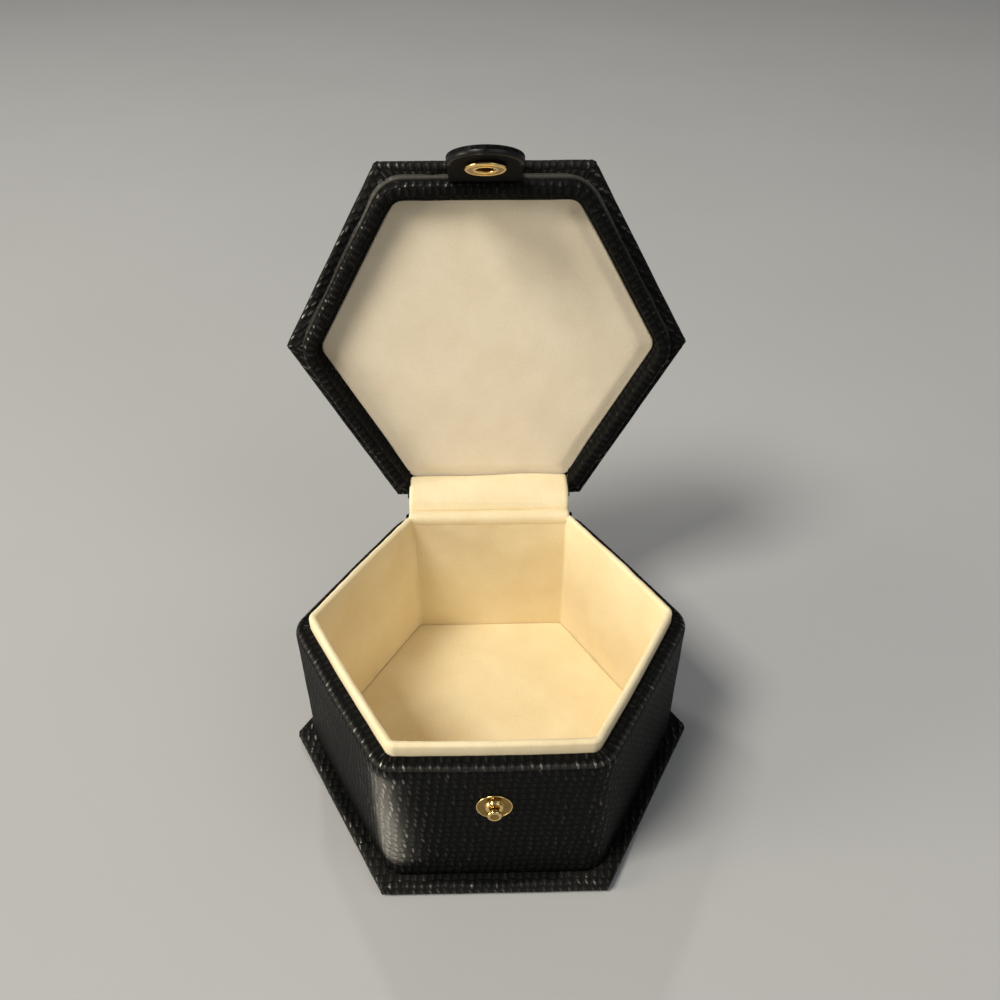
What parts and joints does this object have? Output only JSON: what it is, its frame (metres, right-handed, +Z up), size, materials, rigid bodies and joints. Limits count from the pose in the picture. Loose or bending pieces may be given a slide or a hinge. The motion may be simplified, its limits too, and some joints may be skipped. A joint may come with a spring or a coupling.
{
  "type": "ring presentation box",
  "caption": "Hexagonal leatherette presentation box for a ring, with an open velvet-lined well, a sprung hinged lid and a leather snap tab.",
  "frame": {"origin": "centre of the base's underside", "axes": "+Z up, front (snap tab) towards -Y, hinge towards +Y, hexagon corners at +X and -X"},
  "size_m": [0.1036, 0.1088, 0.1447],
  "materials": {
    "leatherette": "embossed lizard grain, semi-gloss black",
    "suede": "matte black lining leather",
    "velvet": "short cream velvet pile",
    "felt": "black felt",
    "fibreboard": "raw fibreboard, hidden",
    "greyboard": "raw grey card, hidden",
    "gold_plate": "polished gold-coloured plate",
    "steel": "plated spring steel"
  },
  "bodies": {
    "box": {"base_pad": "felt", "base_board": "fibreboard", "base_wrap": "leatherette", "wall_board": "fibreboard", "wall_wrap": "leatherette", "liner_card": "greyboard", "liner_velvet": "velvet", "floor_board": "greyboard", "floor_velvet": "velvet", "stud_flange": "gold_plate", "stud_post": "gold_plate", "stud_washer": "steel", "hinge_base_leaf": "steel", "base_rivet_left": "steel", "base_rivet_right": "steel", "hinge_pin": "steel", "spring_left": "steel", "spring_right": "steel", "hinge_strip": "leatherette", "hinge_cover": "velvet"},
    "lid": {"lid_board": "fibreboard", "lid_wrap": "leatherette", "frame_board": "fibreboard", "frame_wrap": "leatherette", "lining_card": "greyboard", "lining_velvet": "velvet", "hinge_lid_leaf": "steel", "lid_rivet_left": "steel", "lid_rivet_right": "steel", "tab_root": "leatherette"},
    "tab": {"tab_strap": "leatherette", "tab_lining": "suede", "socket_shell": "gold_plate", "socket_spring": "steel", "socket_eyelet": "gold_plate"}
  },
  "joints": [
    {"name": "lid_hinge", "type": "hinge", "parent": "box", "child": "lid", "pos_m": [0, 0.04493, 0.0448], "axis": [1, 0, 0], "range_deg": [0, 96.8], "deforming": ["hinge_cover", "hinge_strip", "spring_left", "spring_right"]},
    {"name": "tab_flex", "type": "hinge", "parent": "lid", "child": "tab", "pos_m": [0, 0.05453, 0.13204], "axis": [1, 0, 0], "range_deg": [-40, 15.5], "stiffness_Nm_per_rad": 0.02}
  ]
}
